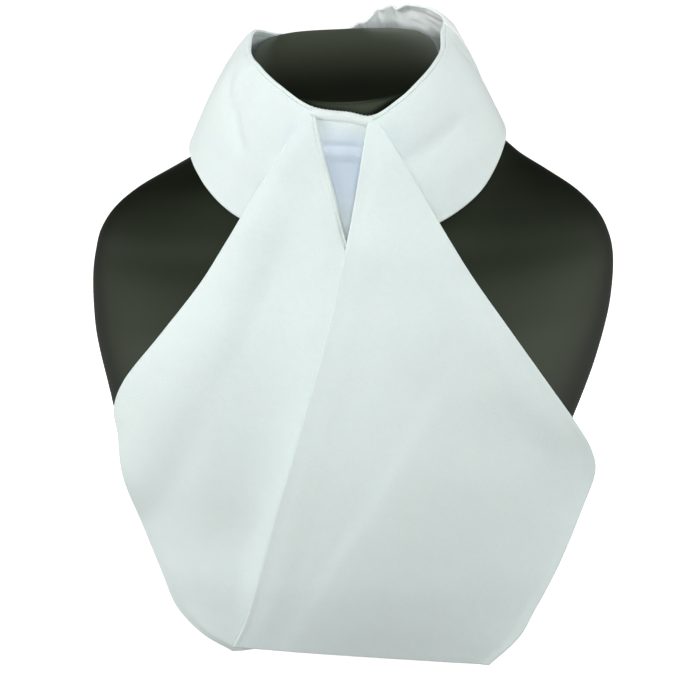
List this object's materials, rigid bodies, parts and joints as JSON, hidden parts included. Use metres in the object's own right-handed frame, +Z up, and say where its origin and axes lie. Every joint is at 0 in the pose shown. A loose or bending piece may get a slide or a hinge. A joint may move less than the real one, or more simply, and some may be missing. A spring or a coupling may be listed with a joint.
{
  "type": "stock tie on a neck bust",
  "caption": "Ready-tied white riding stock: flared collar gathered at the back and broad doubled wings crossed on the chest, on a plain dark neck bust.",
  "frame": {"origin": "on the bust's flat foot, below the middle of its neck", "axes": "+Z up, -Y the wearer's front, +X to the viewer's right"},
  "size_m": [0.3036, 0.1853, 0.3727],
  "materials": {
    "bust_plastic": "satin, nearly black with an olive cast",
    "cotton": "fine white twill, matt",
    "hook_and_loop": "white napped tape"
  },
  "bodies": {
    "root": {"neck_bust": "bust_plastic", "collar": "cotton", "gathered_back": "cotton", "fastening_tab": "hook_and_loop", "front_band": "cotton", "wing_left": "cotton", "wing_right": "cotton"}
  },
  "joints": []
}
